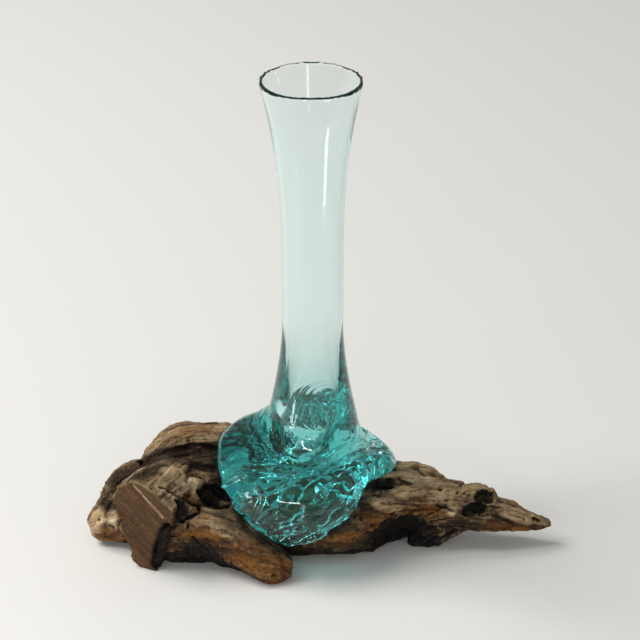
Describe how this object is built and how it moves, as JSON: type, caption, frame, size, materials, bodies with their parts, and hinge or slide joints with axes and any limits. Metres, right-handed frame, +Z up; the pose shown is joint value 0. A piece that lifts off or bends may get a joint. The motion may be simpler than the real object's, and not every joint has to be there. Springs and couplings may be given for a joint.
{
  "type": "glass vase on root",
  "caption": "Hand-blown glass vase with a tall trumpet neck, its thick molten foot draped over a piece of gnarled root that is sawn flat to stand.",
  "frame": {"origin": "on the table under the middle of the vase, at the sawn flat underside of the root", "axes": "+X along the root towards its pointed branch, -Y towards the viewer and the sawn stub, +Z up along the vase"},
  "size_m": [0.2555, 0.0901, 0.2758],
  "materials": {
    "root_wood": "weathered brown root, brushed and left bare, with a sawn end",
    "aqua_glass": "clear recycled glass, almost colourless in the thin neck and aqua to deep teal in the thick foot"
  },
  "bodies": {
    "root": {"root": "root_wood"},
    "vase": {"glass_vase": "aqua_glass"}
  },
  "joints": [
    {"name": "vase_lift", "type": "slide", "parent": "root", "child": "vase", "axis": [0, 0, 1], "range_m": [0, 0.1]}
  ]
}
